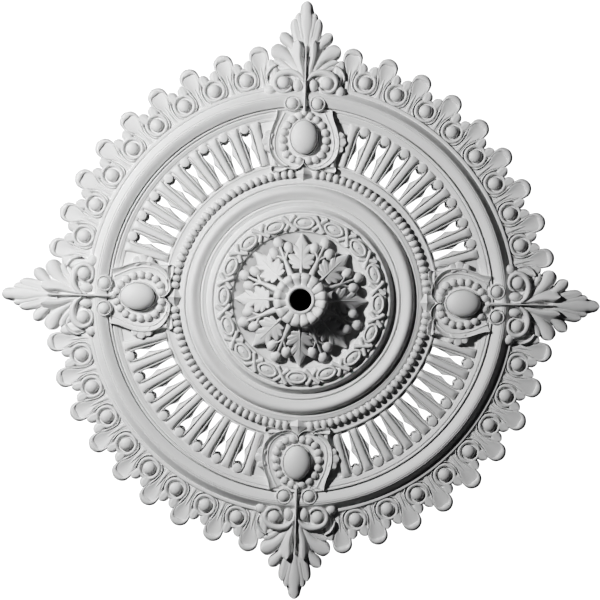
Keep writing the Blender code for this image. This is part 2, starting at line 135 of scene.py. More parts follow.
# %% [markdown]
# ## Smooth numbers and smooth lines
#
# A carver draws with a few points and lets the hand run on between them. `flow` does that for a
# number, such as the width of a petal along its length, and `line_through` does it for a line on
# the bench. Both read a few chosen values and fill in the rest.

# %% Values and lines that flow through a few points
def flow(*keys):
    """A smooth function through (place, value) pairs, level where the values turn back."""
    places = np.array([place for place, value in keys], float)
    values = np.array([value for place, value in keys], float)
    rise = np.diff(values) / np.diff(places)
    slope = np.concatenate([rise[:1], np.zeros(len(places) - 2), rise[-1:]])
    for count in range(1, len(places) - 1):
        before, after = rise[count - 1], rise[count]
        if before * after > 0:
            slope[count] = 2 * before * after / (before + after)
    fine = np.linspace(places[0], places[-1], 240)
    left = np.clip(np.searchsorted(places, fine) - 1, 0, len(rise) - 1)
    step = places[left + 1] - places[left]
    share = (fine - places[left]) / step
    ease = share * share * (3 - 2 * share)
    table = values[left] * (1 - ease) + values[left + 1] * ease
    table += step * slope[left] * share * (1 - share) ** 2
    table -= step * slope[left + 1] * share * share * (1 - share)
    return lambda place: np.interp(place, fine, table)


def line_through(points, closed=False):
    """Evenly spaced points along a smooth line through the given ones, with their shares of the length."""
    given = [Vector(point) for point in points]
    if closed:
        ring = [given[-1]] + given + given[:2]
    else:
        ring = [2 * given[0] - given[1]] + given + [2 * given[-1] - given[-2]]
    fine = []
    for before, start, stop, after in zip(ring, ring[1:], ring[2:], ring[3:]):
        for share in np.linspace(0, 1, 16, endpoint=False):
            bend = 2 * start + (stop - before) * share
            bend += (2 * before - 5 * start + 4 * stop - after) * share**2
            bend += (3 * start - before - 3 * stop + after) * share**3
            fine.append(bend / 2)
    fine.append(ring[-2])
    fine = np.array([tuple(point) for point in fine])
    reach = np.concatenate([[0], np.cumsum(np.hypot(*np.diff(fine, axis=0).T))])
    share = np.linspace(0, 1, 160)
    across = np.interp(share * reach[-1], reach, fine[:, 0])
    along = np.interp(share * reach[-1], reach, fine[:, 1])
    return share, across, along


# %% [markdown]
# ## The relief strip, the tool for most of the carving
#
# Petals, leaf lobes, stems, ribbons and scrolls have one thing in common: a strip that runs along
# a line, with a width that changes and a section that is the same kind of curve all the way. So
# one grid is laid along the line. Its rows follow the line, its columns cross it, and a function
# gives the height at each point. The rim of the grid is then extruded down and closed below, which
# makes it a solid pad that can sit on any ground. Rows crowd together at a rounded tip, where the
# outline turns fastest.

# %% Make a strip of relief
def tip_rows(share):
    return np.sin(share * math.pi / 2)


def both_tips(share):
    return 0.5 - 0.5 * np.cos(share * math.pi)


def even_rows(share):
    return share


def close_below(shape, floor, ring=False):
    """Drops the open rim to the floor and fills it, so that the pad is a closed solid."""
    rim = [edge for edge in shape.edges if edge.is_boundary]
    wall = bmesh.ops.extrude_edge_only(shape, edges=rim)
    for part in wall["geom"]:
        if isinstance(part, bmesh.types.BMVert):
            part.co.z = floor
    bmesh.ops.remove_doubles(shape, verts=shape.verts, dist=0.002 * MM)
    rim = [edge for edge in shape.edges if edge.is_boundary]
    if ring:
        bmesh.ops.bridge_loops(shape, edges=rim)
    else:
        bmesh.ops.holes_fill(shape, edges=rim, sides=0)
    bmesh.ops.recalc_face_normals(shape, faces=shape.faces)


def strip(points, half_width, height, floor, rows=24, columns=10, spacing=tip_rows, closed=False, lean=0):
    """A pad along a line: points and widths in millimetres, height(along, across) in millimetres.

    A lean of -1 or 1 lays the whole pad on the left or the right of the line.
    """
    share, line_x, line_y = line_through(points, closed)
    ahead_x, ahead_y = np.gradient(line_x), np.gradient(line_y)
    if closed:
        ahead_x[0] = ahead_x[-1] = line_x[1] - line_x[-2]
        ahead_y[0] = ahead_y[-1] = line_y[1] - line_y[-2]
    length = np.hypot(ahead_x, ahead_y)
    shape = bmesh.new()
    bmesh.ops.create_grid(shape, x_segments=columns, y_segments=rows, size=1)
    grid = np.array([tuple(vertex.co) for vertex in shape.verts])
    across = grid[:, 0]
    along = spacing((grid[:, 1] + 1) / 2)
    side = (across + lean) * half_width(along)
    x = np.interp(along, share, line_x) + side * np.interp(along, share, ahead_y / length)
    y = np.interp(along, share, line_y) - side * np.interp(along, share, ahead_x / length)
    z = height(along, across)
    for vertex, place in zip(shape.verts, zip(x, y, z)):
        vertex.co = Vector(place) * MM
    if closed:
        bmesh.ops.remove_doubles(shape, verts=shape.verts, dist=0.002 * MM)
    close_below(shape, floor * MM, ring=closed)
    return shape


def same(value):
    """A width that stays the same all along."""
    return lambda along: value + 0 * along


def rounded(low, high, fullness=0.5):
    """A section that swells from low at its edges to high in the middle."""
    return lambda along, across: low + (high - low) * np.maximum(0, 1 - across**2) ** fullness


def round_end(along, start):
    """1 up to the start of a tip, then down to 0 as a quarter circle falls."""
    return np.sqrt(np.maximum(0, 1 - (np.maximum(0, along - start) / (1 - start)) ** 2))


DOME_SKIRT = 6.0


def dome(half_width, half_length, low, high, around=12, up=8, fullness=1.0):
    """The upper half of a ball, pulled to the given size, on a short wall. Sizes in millimetres.

    A fullness below 1 flattens the top and makes the sides steeper.
    """
    shape = bmesh.new()
    bmesh.ops.create_uvsphere(shape, u_segments=around, v_segments=up, radius=1)
    everything = shape.verts[:] + shape.edges[:] + shape.faces[:]
    bmesh.ops.bisect_plane(shape, geom=everything, plane_co=(0, 0, 0), plane_no=(0, 0, 1), clear_inner=True)
    for vertex in shape.verts:
        vertex.co.z = max(0, vertex.co.z) ** fullness
    size = (half_width * MM, half_length * MM, (high - low) * MM)
    bmesh.ops.scale(shape, vec=size, verts=shape.verts)
    bmesh.ops.translate(shape, vec=(0, 0, low * MM), verts=shape.verts)
    close_below(shape, (low - DOME_SKIRT) * MM)
    return shape


def turned(profile, steps):
    """A closed profile of (radius, height) in millimetres, spun once about the middle."""
    shape = bmesh.new()
    points = [shape.verts.new((radius * MM, 0, height * MM)) for radius, height in profile]
    for start, stop in zip(points, points[1:] + points[:1]):
        shape.edges.new((start, stop))
    outline = shape.verts[:] + shape.edges[:]
    bmesh.ops.spin(
        shape, geom=outline, cent=(0, 0, 0), axis=(0, 0, 1), angle=2 * math.pi, steps=steps, use_merge=True
    )
    bmesh.ops.remove_doubles(shape, verts=shape.verts, dist=0.002 * MM)
    bmesh.ops.recalc_face_normals(shape, faces=shape.faces)
    return shape


def slab(outlines, low, high):
    """Closed outlines in millimetres, filled and raised from low to high. An inner outline is a hole."""
    curve = bpy.data.curves.new("outline", "CURVE")
    curve.dimensions = "2D"
    curve.fill_mode = "BOTH"
    curve.extrude = (high - low) / 2 * MM
    for outline in outlines:
        spline = curve.splines.new("POLY")
        spline.points.add(len(outline) - 1)
        for point, (across, along) in zip(spline.points, outline):
            point.co = (across * MM, along * MM, 0, 1)
        spline.use_cyclic_u = True
    helper = bpy.data.objects.new("outline", curve)
    bpy.context.scene.collection.objects.link(helper)
    bpy.context.view_layer.update()
    mesh = bpy.data.meshes.new_from_object(helper.evaluated_get(bpy.context.evaluated_depsgraph_get()))
    bpy.data.objects.remove(helper)
    shape = bmesh.new()
    shape.from_mesh(mesh)
    bpy.data.meshes.remove(mesh)
    bmesh.ops.remove_doubles(shape, verts=shape.verts, dist=0.002 * MM)
    bmesh.ops.translate(shape, vec=(0, 0, (low + high) / 2 * MM), verts=shape.verts)
    bmesh.ops.recalc_face_normals(shape, faces=shape.faces)
    return shape


def on_ring(degrees, radius):
    """A point at that angle clockwise from the top of the drawing."""
    angle = math.radians(degrees)
    return radius * math.sin(angle), radius * math.cos(angle)


def circle(radius, steps=192):
    return [on_ring(360 / steps * step, radius) for step in range(steps)]


# %% [markdown]
# ## Shader maths that reads like maths
#
# A material is a graph of nodes, which is slow to read when it is built call by call. The small
# class below wraps one socket, so that an expression such as `1 - pits * 0.3` adds its own Math
# nodes. Any other node comes from the one method `node` of the paint box.

# %% A small language for nodes
class Value:
    def __init__(self, box, socket):
        self.box = box
        self.socket = socket

    def _math(self, operation, first, second):
        return self.box.node("ShaderNodeMath", {"operation": operation}, {0: first, 1: second})

    def __add__(self, other):
        return self._math("ADD", self, other)

    def __radd__(self, other):
        return self._math("ADD", other, self)

    def __sub__(self, other):
        return self._math("SUBTRACT", self, other)

    def __rsub__(self, other):
        return self._math("SUBTRACT", other, self)

    def __mul__(self, other):
        return self._math("MULTIPLY", self, other)

    def __rmul__(self, other):
        return self._math("MULTIPLY", other, self)


class PaintBox:
    """A material with one Principled shader, and the nodes that feed it."""

    def __init__(self, name):
        self.material = bpy.data.materials.new(name)
        self.material.use_nodes = True
        self.tree = self.material.node_tree
        self.shader = self.tree.nodes["Principled BSDF"]

    def node(self, kind, settings, inputs, output=0):
        made = self.tree.nodes.new(kind)
        for name, value in settings.items():
            setattr(made, name, value)
        for name, value in inputs.items():
            if isinstance(value, Value):
                self.tree.links.new(value.socket, made.inputs[name])
            else:
                made.inputs[name].default_value = value
        return Value(self, made.outputs[output])

    def feed(self, **sockets):
        """Links or sets sockets of the shader. Base_Color stands for Base Color."""
        for name, value in sockets.items():
            socket = self.shader.inputs[name.replace("_", " ")]
            if isinstance(value, Value):
                self.tree.links.new(value.socket, socket)
            else:
                socket.default_value = value


# %% [markdown]
# ## The finish: matt white primer on a fine casting
#
# The rose is sold primed white. The skin is dull, with a very fine grain where the primer dried,
# a few tiny pits where bubbles burst in the mould, and a faint cloudiness where the coat is
# thicker. Each pit is also painted darker, which is painted shade. All of it stays subtle, because
# the shape has to do the talking.

# %% Mix the white casting
def white_casting():
    box = PaintBox("white_casting")
    place = box.node("ShaderNodeTexCoord", {}, {}, output="Object")
    cloud = box.node(
        "ShaderNodeTexNoise", {}, {"Vector": place, "Scale": 9.0, "Detail": 4.0, "Roughness": 0.55}
    )
    grain = box.node(
        "ShaderNodeTexNoise", {}, {"Vector": place, "Scale": 900.0, "Detail": 3.0, "Roughness": 0.6}
    )
    ripple = box.node(
        "ShaderNodeTexNoise", {}, {"Vector": place, "Scale": 120.0, "Detail": 2.0, "Roughness": 0.5}
    )
    cells = box.node("ShaderNodeTexVoronoi", {"feature": "F1"}, {"Vector": place, "Scale": 230.0})
    pits_and_pit_shade = box.node(
        "ShaderNodeMapRange", {},
        {"Value": cells, "From Min": 0.05, "From Max": 0.16, "To Min": 1.0, "To Max": 0.0}
    )
    rare = box.node("ShaderNodeMapRange", {}, {"Value": ripple, "From Min": 0.60, "From Max": 0.68})
    pits_and_pit_shade = pits_and_pit_shade * rare
    tone = box.node(
        "ShaderNodeMix",
        {"data_type": "RGBA"},
        {"Factor": cloud, "A": (0.74, 0.74, 0.735, 1), "B": (0.79, 0.79, 0.79, 1)},
        output=2,
    )
    # Each pit is also painted darker in colour: painted shade in the pits, besides their real dent in the
    # bump.
    shade = box.node(
        "ShaderNodeMix",
        {"data_type": "RGBA"},
        {"Factor": pits_and_pit_shade * 0.35, "A": tone, "B": (0.55, 0.55, 0.54, 1)},
        output=2,
    )
    skin = grain * 0.55 + ripple * 0.6 - pits_and_pit_shade * 0.9
    bump = box.node("ShaderNodeBump", {}, {"Height": skin, "Strength": 0.22, "Distance": 0.25 * MM})
    box.feed(Base_Color=shade, Roughness=0.52 + cloud * 0.12, Normal=bump)
    box.shader.inputs["Specular IOR Level"].default_value = 0.35
    return box.material


WHITE = white_casting()
print("mixed", WHITE.name)

# %% [markdown]
# ## The plate: one flat back, pierced by thirty-two slots
#
# The back of the rose has to lie flat on the ceiling, so everything grows from one flat plate.
# Its outline follows the fringe and the finials, and the slots of the gallery go right through.
# A flat curve fills such an outline with its holes in one step.

# %% Sizes of the plan, in millimetres from the middle
BORE_RADIUS = 15.5
RECESS_RADIUS = 97.5
RIBBON_OUTER = 124.0
HUB_RADIUS = 188.6
BAND_RADIUS = 201.7
GALLERY_RADIUS = 260.7
RIM_RADIUS = 310.3
PETAL_TIP = 370.5
FINIAL_TIP = 430.5
PLATE_TOP = 13.0
LEAF_GROUND = 9.0

PETALS = quarter_angles(8.5, 9)
FRINGE_CUPS = quarter_angles(8.5, 8)
SLOTS = quarter_angles(7.27, 8)
COLUMNS = quarter_angles(7.27, 9)
EDGE_INSET = 0.6

# Right half of a slot, from the band outwards: half width and radius.
SLOT_HALF = [
    (5.5, 201.9), (5.1, 209), (4.3, 216), (3.2, 224.5), (1.5, 230), (1.5, 232), (3.6, 237.5),
    (5.3, 242), (6.0, 246), (6.2, 250.4), (5.2, 251.6), (2.8, 249.8), (0.8, 249.2),
]

# Right half of a finial's ground, from the rim to the tip.
FINIAL_HALF = [
    (52, 309), (50, 318), (44, 326), (36, 331), (39, 340), (36, 347), (43, 352), (45, 359),
    (37, 366), (27, 364), (26, 371), (33, 380), (30, 386), (20, 381), (21, 394), (16.5, 403),
    (11.5, 404), (11.5, 412), (9, 421), (5, 427), (1.5, 429),
]


def whole(half):
    """A closed outline from its right half, which runs outwards."""
    return [(-across, along) for across, along in half] + half[::-1]


def at_angle(outline, degrees):
    place = clockwise(degrees)
    return [tuple((place @ Vector((across, along, 0)))[:2]) for across, along in outline]


PETAL_WIDTH = flow(
    (0, 9.5), (0.12, 5.6), (0.28, 4.5), (0.42, 5.4), (0.52, 8.4), (0.65, 12.2), (0.8, 13.9), (1, 13.9)
)


def petal_half_width(along):
    return PETAL_WIDTH(along) * round_end(along, 0.8)


def petal_outline():
    """The broad end of a petal, as a closed outline a little inside its relief."""
    shares = np.linspace(0.47, 0.995, 16)
    foot = RIM_RADIUS - 2
    half = [(petal_half_width(share) - EDGE_INSET, foot + share * (PETAL_TIP - foot)) for share in shares]
    return [(max(0.5, across), along - EDGE_INSET) for across, along in half]


CUP_LOBES = [(15.5, 339), (15, 345), (11, 349.5), (7.5, 349.8), (3.5, 347), (0.4, 343.5)]


def plate_outline():
    """The whole outline, clockwise, quarter by quarter from the top finial."""
    points = []
    for quarter in range(FINIALS):
        start = 360 / FINIALS * quarter
        points += at_angle(whole(FINIAL_HALF), start)
        for count in range(9):
            angle = start + 11 + 8.5 * count
            points += at_angle(whole(petal_outline()), angle)
            if count < 8:
                lobes = [(-across, along) for across, along in CUP_LOBES] + CUP_LOBES[::-1]
                points += at_angle(lobes, angle + 4.25)
    return points

# %% Fill the plate and raise it
plate = Piece("pierced_plate")
WALL_ROOM = 0.9
HEAD_ROOM = 3.0
SLOT_HEAD = 249.0
wide_slot = [
    (across + WALL_ROOM, along + (HEAD_ROOM if along > SLOT_HEAD else 0)) for across, along in SLOT_HALF
]
openings = [at_angle(whole(wide_slot), angle) for angle in SLOTS]
plate.add(slab([plate_outline(), circle(BORE_RADIUS, 48)] + openings, 0, LEAF_GROUND))
plate.add(slab([circle(RIM_RADIUS - 4), circle(RECESS_RADIUS - 2, 96)] + openings, LEAF_GROUND, PLATE_TOP))
plate.hang(WHITE, crease=30)

# %% [markdown]
# ## The turned mouldings
#
# A plasterer runs such rings with a cut profile on a turning arm. The same thing here is a closed
# profile, spun once round the middle. Thin steps of less than a millimetre matter: each one draws
# a fine line of light or shadow round the whole rose, and those lines make it look cast.

# %% Spin the rim and the hub
RIM_PROFILE = [
    (310.0, 2), (310.0, 14.2), (309.4, 15.2), (308.2, 15.4), (306.2, 15.1), (305.4, 14.0), (304.6, 13.5),
    (303.8, 14.4), (302.2, 16.2), (300.4, 18.4), (298.6, 20.9), (297.0, 23.1), (295.6, 24.7), (294.6, 25.3),
    (294.0, 24.7), (293.4, 25.6), (291.6, 26.0), (290.9, 25.3), (290.2, 25.9), (289.0, 25.6), (287.0, 24.9),
    (285.0, 23.9), (283.0, 22.6), (281.2, 21.4), (279.6, 20.6), (278.8, 20.0), (278.4, 16.0), (278.0, 13.5),
    (277.1, 13.5), (276.7, 19.6), (275.8, 20.3), (274.8, 20.2), (274.0, 19.4), (273.5, 17.4), (272.7, 17.2),
    (272.1, 18.3), (271.2, 18.6), (269.0, 17.8), (266.6, 16.9), (266.2, 16.0), (265.6, 15.9), (263.0, 15.2),
    (261.8, 14.6), (261.2, 13.2), (261.0, 2),
]
HUB_PROFILE = [
    (198.4, 2), (198.4, 15.8), (197.9, 17.0), (196.8, 17.5), (195.6, 17.3), (194.8, 16.6), (189.6, 16.2),
    (175.8, 16.2), (175.0, 17.4), (174.2, 19.2), (173.0, 19.8), (170.0, 20.0), (169.2, 20.7), (167.6, 20.7),
    (166.9, 20.0), (166.2, 18.2), (165.2, 18.0), (164.4, 19.6), (163.6, 22.2), (162.4, 24.8), (161.0, 27.0),
    (159.4, 28.6), (157.6, 29.5), (155.8, 29.7), (154.0, 29.3), (151.8, 28.2), (149.6, 26.7), (147.8, 25.5),
    (146.2, 24.9), (145.0, 24.4), (144.5, 22.8), (143.8, 22.6), (143.2, 23.6), (142.4, 24.6), (141.2, 25.0),
    (140.2, 24.7), (139.4, 24.1), (137.4, 23.8), (136.4, 23.6), (135.8, 22.9), (135.0, 23.2), (133.8, 24.4),
    (132.4, 26.4), (131.2, 28.6), (130.2, 30.8), (129.4, 32.6), (128.6, 33.7), (127.6, 34.2), (126.6, 34.1),
    (125.8, 33.4), (125.0, 32.0), (124.0, 31.5), (123.2, 31.8), (122.7, 33.6), (122.2, 35.0), (121.4, 35.6),
    (99.6, 35.6), (98.2, 35.0), (97.4, 33.8), (96.8, 32.4), (95.6, 31.6), (90.0, 29.4), (82.0, 26.0),
    (74.0, 21.6),
    (66.0, 16.0), (58.0, 11.6), (48.0, 9.9), (26.0, 9.6), (24.0, 9.6), (24.0, 2),
]
mouldings = Piece("turned_mouldings")
mouldings.add(turned(RIM_PROFILE, 240))
mouldings.add(turned(HUB_PROFILE, 180))
mouldings.hang(WHITE, crease=24)

# %% [markdown]
# ## The gallery: columns between pierced slots
#
# Each bar between two slots is a small column: a rounded shaft with a thin raised edge on both
# sides, which widens where it meets the rim. The shaft is a relief strip whose section has a
# groove beside the edge. A sloping wall lines each slot, and a flat, round tongue covers the
# middle of its outer end.

# %% Carve the gallery
gallery = Piece("gallery")
SHAFT_TOP = 20.0
EDGE_TOP = 17.2


def shaft_section(along, across):
    """A rounded shaft with a step at its foot."""
    side = np.abs(across)
    lift = flow((0, 0.4), (0.08, 1), (0.9, 1), (1, 0.4))(along)
    body = 16.0 + (SHAFT_TOP - 16.0) * np.maximum(0, 1 - (side / 0.9) ** 2.6) ** 0.5
    return np.where(side > 0.92, 14.2, body) * lift + (1 - lift) * 15.5


shaft_width = flow((0, 5.0), (0.6, 5.4), (0.8, 5.8), (0.92, 6.6), (1, 7.6))
shaft = [(0, 200.2), (0, 263.2)]
gallery.add(
    strip(shaft, shaft_width, shaft_section, 8, rows=22, columns=14, spacing=even_rows),
    [clockwise(angle) for angle in COLUMNS],
)

ARCH_LINE = [(-6.4, 200.6), (-6.9, 222), (-7.7, 248), (-7.0, 257), (-3.8, 262.2), (0, 263.4)]
arch = ARCH_LINE + [(-across, along) for across, along in ARCH_LINE[-2::-1]]
gallery.add(
    strip(arch, same(1.25), rounded(14.4, EDGE_TOP, 0.5), 6, rows=64, columns=4, spacing=even_rows),
    [clockwise(angle) for angle in SLOTS],
)


def wall_width(along):
    """Half the width of the sloping wall of a slot: broad at the head, narrow along the sides."""
    share, across, radius = line_through(whole(SLOT_HALF), closed=True)
    radius = np.interp(along, share, radius)
    return np.interp(radius, [203, 214, 225, 229, 240, 248, 249.3], [0.5, 0.8, 1.3, 0.6, 0.6, 0.7, 1.2])


def wall_height(along, across):
    """Steep walls along the sides. At the head a groove falls away behind a thin sill."""
    share, side, radius = line_through(whole(SLOT_HALF), closed=True)
    head = np.clip(np.interp(along, share, radius) - SLOT_HEAD, 0, 1)
    outward = (1 - across) / 2
    sill = np.interp(outward, [0, 0.25, 0.45, 1], [9.0, 10.5, 3.5, 3.0])
    return (2 + 11 * outward) * (1 - head) + sill * head


slot_wall = strip(
    whole(SLOT_HALF), wall_width, wall_height, 0.5, rows=96, columns=4, spacing=even_rows, closed=True,
    lean=-1
)
gallery.add(slot_wall, [clockwise(angle) for angle in SLOTS])
TONGUE_CENTRE = 258.6
tongue = dome(7.0, 7.0, 14.0, 19.0, around=28, up=8, fullness=0.35)
gallery.add(tongue, [clockwise(angle) @ moved(0, TONGUE_CENTRE * MM) for angle in SLOTS])
gallery.hang(WHITE)

# %% [markdown]
# ## The ring of beads
#
# Four rows of twenty-six beads sit in a groove round the hub, nearly touching. A bead is the upper
# half of a ball with few faces, because it is small and there are many. On each axis, between two
# rows, stands a larger drop with four sides.

# %% Set the beads
beads = Piece("bead_ring")
BEAD_CENTRE = 181.8
bead = dome(5.05, 6.7, 18.0, 25.4, around=14, up=8, fullness=0.8)
beads.add(bead, [clockwise(angle) @ moved(0, BEAD_CENTRE * MM) for angle in quarter_angles(3.15, 26)])
DROP_CENTRE = 181.2
DROP_FOOT, DROP_TIP = 15.0, 31.5
drop = bmesh.new()
bmesh.ops.create_cone(
    drop, segments=4, cap_ends=True, radius1=14.6 * MM, radius2=0, depth=(DROP_TIP - DROP_FOOT) * MM
)
bmesh.ops.scale(drop, vec=(1.12, 1.0, 1), verts=drop.verts)
bmesh.ops.translate(drop, vec=(0, DROP_CENTRE * MM, (DROP_FOOT + DROP_TIP) / 2 * MM), verts=drop.verts)
beads.add(drop, AXES)
beads.hang(WHITE, crease=40)

# %% [markdown]
# ## The fringe: hooded petals and balls in cups
#
# A petal starts as a narrow stem at the rim, opens like a spoon and curls over at its tip. The
# spoon is one strip with a thin raised rim and a hollow in the middle. The curled tip is a second,
# short strip that stands over the hollow, so that it throws the small shadow that the eye reads as
# a hood. Between two petals a ball sits in an egg-shaped cup with two leaf tips above it.

# %% Carve the fringe
fringe = Piece("fringe")


def petal_section(along, across):
    """A shallow spoon with a soft edge."""
    side = np.abs(across)
    rim = flow((0, 11.6), (0.3, 12.6), (0.6, 14.4), (1, 14.6))(along)
    depth = flow((0, 0.2), (0.35, 0.8), (0.6, 2.0), (0.85, 2.2), (1, 2.0))(along)
    hollow = np.maximum(0, 1 - (side / 0.84) ** 2)
    fall = np.maximum(0, (side - 0.78) / 0.22) ** 2
    return rim - depth * hollow - 3.2 * fall


petal = [(0, RIM_RADIUS - 2), (0, PETAL_TIP)]
petal_places = [clockwise(angle) for angle in PETALS]
fringe.add(strip(petal, petal_half_width, petal_section, 4, rows=30, columns=16), petal_places)

# The curled tip is a lip that runs round the end of the spoon and swells in the middle.
LIP_HALF = [(6.8, 332), (10.6, 342), (12.0, 351), (11.0, 359.2), (6.6, 364.2)]
lip_line = [(-across, along) for across, along in LIP_HALF] + [(0, 365.6)] + LIP_HALF[::-1]
LIP_CROWN = flow((0, 12.4), (0.2, 14.4), (0.5, 16.4), (0.8, 14.4), (1, 12.4))


def lip_section(along, across):
    return 11.0 + (LIP_CROWN(along) - 11.0) * np.maximum(0, 1 - np.abs(across) ** 2.2) ** 0.5


lip_width = flow((0, 0.8), (0.18, 1.5), (0.34, 2.6), (0.5, 5.4), (0.66, 2.6), (0.82, 1.5), (1, 0.8))
fringe.add(strip(lip_line, lip_width, lip_section, 6, rows=44, columns=8, spacing=even_rows), petal_places)

# The stem: a low web, a rib and a thin line on each side that flows out to the rim.
web = [(0, 309), (0, 326), (0, 345)]
web_width = flow((0, 13), (0.5, 9.5), (1, 10.5))
fringe.add(
    strip(web, web_width, rounded(9.4, 11.2, 0.3), 4, rows=12, columns=8, spacing=even_rows), petal_places
)
rib = [(0, 309), (0, 322), (0, 340)]
rib_width = flow((0, 5.4), (0.3, 2.8), (0.6, 2.0), (1, 1.0))
rib_crown = flow((0, 12.4), (0.5, 14.2), (1, 13.0))
fringe.add(
    strip(
        rib, rib_width, lambda along,
        across: 11 + (rib_crown(along) - 11) * np.maximum(0, 1 - across**2) ** 0.5, 6,
        rows=14, columns=6, spacing=even_rows,
    ),
    petal_places,
)
side_line = [(9.6, 344), (7.6, 334), (5.8, 325), (7.4, 316), (12.5, 310.8)]
line_shape = strip(side_line, same(1.1), rounded(10.0, 14.2, 0.5), 6, rows=20, columns=4, spacing=even_rows)
fringe.add(line_shape, [place @ side for place in petal_places for side in (Matrix.Identity(4), MIRRORED)])

# The cup: a broad collar round a ball that nearly fills it.
cup_places = [clockwise(angle) for angle in FRINGE_CUPS]
CUP_HALF = [(0, 312.6), (9.2, 315.4), (13.9, 323.0), (13.7, 330.8), (9.4, 337.6), (0, 341.0)]
cup = CUP_HALF + [(-across, along) for across, along in CUP_HALF[-2:0:-1]]
fringe.add(
    strip(cup, same(2.7), rounded(10.0, 14.2, 0.45), 4, rows=44, columns=8, spacing=even_rows, closed=True),
    cup_places
)
ball = dome(9.4, 9.6, 11.0, 19.6, around=24, up=14, fullness=0.85)
fringe.add(ball, spots(cup_places, 0, 326.4))


def lobe_width(*keys, tip=0.72):
    widths = flow(*keys)
    return lambda along: widths(along) * round_end(along, tip)


def leaf_section(edge, crown, tip_crown, vein=0.0, fullness=0.5):
    """A rounded leaf that falls towards its tip, with a shallow vein down the middle."""
    def height(along, across):
        top = crown + (tip_crown - crown) * along
        swell = np.maximum(0, 1 - np.abs(across) ** 2.4) ** fullness
        return edge + (top - edge) * swell - vein * np.exp(-((across / 0.22) ** 2)) * (1 - along**4)
    return height


cup_lobe = [(7.6, 338.6), (8.8, 345), (10.0, 352.8)]
lobe_shape = strip(
    cup_lobe, lobe_width((0, 6.2), (0.4, 7.8), (1, 7.8), tip=0.4), leaf_section(9.4, 14.8, 15.4, 0.5), 4,
    rows=16, columns=10
)
fringe.add(lobe_shape, [place @ side for place in cup_places for side in (Matrix.Identity(4), MIRRORED)])
fringe.hang(WHITE)

# %% [markdown]
# ## The finials: folded leaves with lobes, scrolls and volutes
#
# Each finial is a leaf with a round tip and six pairs of lobes, like fingers that all flow back
# into one stem. Every finger is a relief strip with a round end. The stem is a thin ridge that
# climbs over the rim. Beside it sit two pairs of balls wrapped in scrolls. Only the right half is
# drawn, and the left is its mirror image.

# %% Carve the fingers of the leaf
finials = Piece("finials")

tip_line = [(0, 363), (0, 396), (0, FINIAL_TIP)]
tip_width = lobe_width(
    (0, 5), (0.3, 8.6), (0.5, 11.2), (0.66, 10.4), (0.78, 8.4), (0.87, 8.8), (1, 9.2), tip=0.85
)
finials.add(strip(tip_line, tip_width, leaf_section(11, 19.5, 18, 0.0, 0.55), 4, rows=34, columns=14), AXES)

# Each finger: its line from the stem outwards, its half widths, its crown at root and tip, its vein.
FINGERS = [
    ([(6, 378), (9, 397), (12.0, 413.5)], [(0, 4), (0.6, 6.0), (1, 5.4)], 18.5, 15.5, 0.0),
    ([(6, 350), (12.5, 382), (18.2, 405)], [(0, 4), (0.62, 8.6), (1, 7.0)], 20, 16, 0.7),
    (
        [(8, 344), (18, 362), (27, 374), (36.6, 383.5)], [(0, 4.5), (0.5, 5.8), (0.78, 8.4), (1, 8.6)], 20,
        19, 0.0
    ),
    (
        [(11, 330), (23, 346), (36, 356), (50.0, 361.0)], [(0, 5), (0.5, 8.2), (0.75, 11.0), (1, 11.2)],
        20.5, 20, 0.0
    ),
    (
        [(14, 324), (27, 335), (36, 341), (46.0, 344.5)], [(0, 4), (0.5, 5.0), (0.8, 5.2), (1, 5.2)], 19.5,
        17, 0.0
    ),
    ([(14, 318), (24, 327), (33, 333.5), (41.0, 336)], [(0, 3.5), (0.6, 4.4), (1, 4.6)], 19, 15.5, 0.0),
]
for line, widths, root, end, vein in FINGERS:
    finger = strip(
        line, lobe_width(*widths, tip=0.81), leaf_section(10, root, end, vein), 4, rows=28, columns=12
    )
    finials.add(finger, BOTH_SIDES)

# %% Carve the stem, the folded pair of leaves and the bud
stem_line = [(0, 271), (0, 300), (0, 366)]
STEM_CROWN = flow((0, 29.5), (0.2, 31.5), (0.35, 30.5), (0.6, 28), (1, 24))


def stem_section(along, across):
    return 12 + (STEM_CROWN(along) - 12) * np.maximum(0, 1 - across**2) ** 0.4


stem_width = lobe_width((0, 3.2), (0.3, 2.4), (0.7, 1.7), (1, 1.2), tip=0.97)
finials.add(strip(stem_line, stem_width, stem_section, 6, rows=40, columns=8), AXES)

# The folded pair rises beside the stem and turns its two thick tips outwards.
folded = [(3.2, 308), (8.0, 330), (12.6, 348), (13.4, 373.0)]
folded_width = lobe_width((0, 2.4), (0.45, 6.0), (0.72, 7.6), (0.88, 8.6), (1, 8.6), tip=0.84)


def folded_section(along, across):
    """Steep beside the stem, and gentle towards the leaf."""
    crest = np.interp(across, [-1, -0.86, -0.45, 0.1, 0.6, 1], [0.0, 0.8, 1.0, 0.86, 0.5, 0.2])
    return 15 + (flow((0, 7), (0.6, 10.5), (1, 12))(along)) * crest


finials.add(strip(folded, folded_width, folded_section, 6, rows=34, columns=16), BOTH_SIDES)

# One broad, smooth body joins all the fingers, so that only shallow grooves part them.
body = [(0, 296), (0, 350), (0, 404)]
body_width = flow(
    (0, 10), (0.15, 23), (0.3, 33), (0.42, 36), (0.52, 34), (0.64, 26), (0.76, 20), (0.9, 15), (1, 9)
)


def body_section(along, across):
    """Smooth and crowned, with a dip on each side of the stem between the folded tips."""
    dip = 6.0 * np.exp(-(((along - 0.52) / 0.075) ** 2)) * np.exp(-((across / 0.2) ** 2))
    return leaf_section(9.5, 19.0, 18.0, fullness=0.6)(along, across) - dip


finials.add(strip(body, body_width, body_section, 4, rows=44, columns=26, spacing=even_rows), AXES)

# %% Wrap the balls in their scrolls
SCROLL = [
    (2.6, 315), (9.5, 323.0), (19.5, 327.2), (30, 326.6), (39.4, 322.4), (44.4, 314.6), (43.4, 306.2),
    (37.6, 300.3),
    (30, 298.8), (23.2, 301.2), (19.6, 307.0),
]


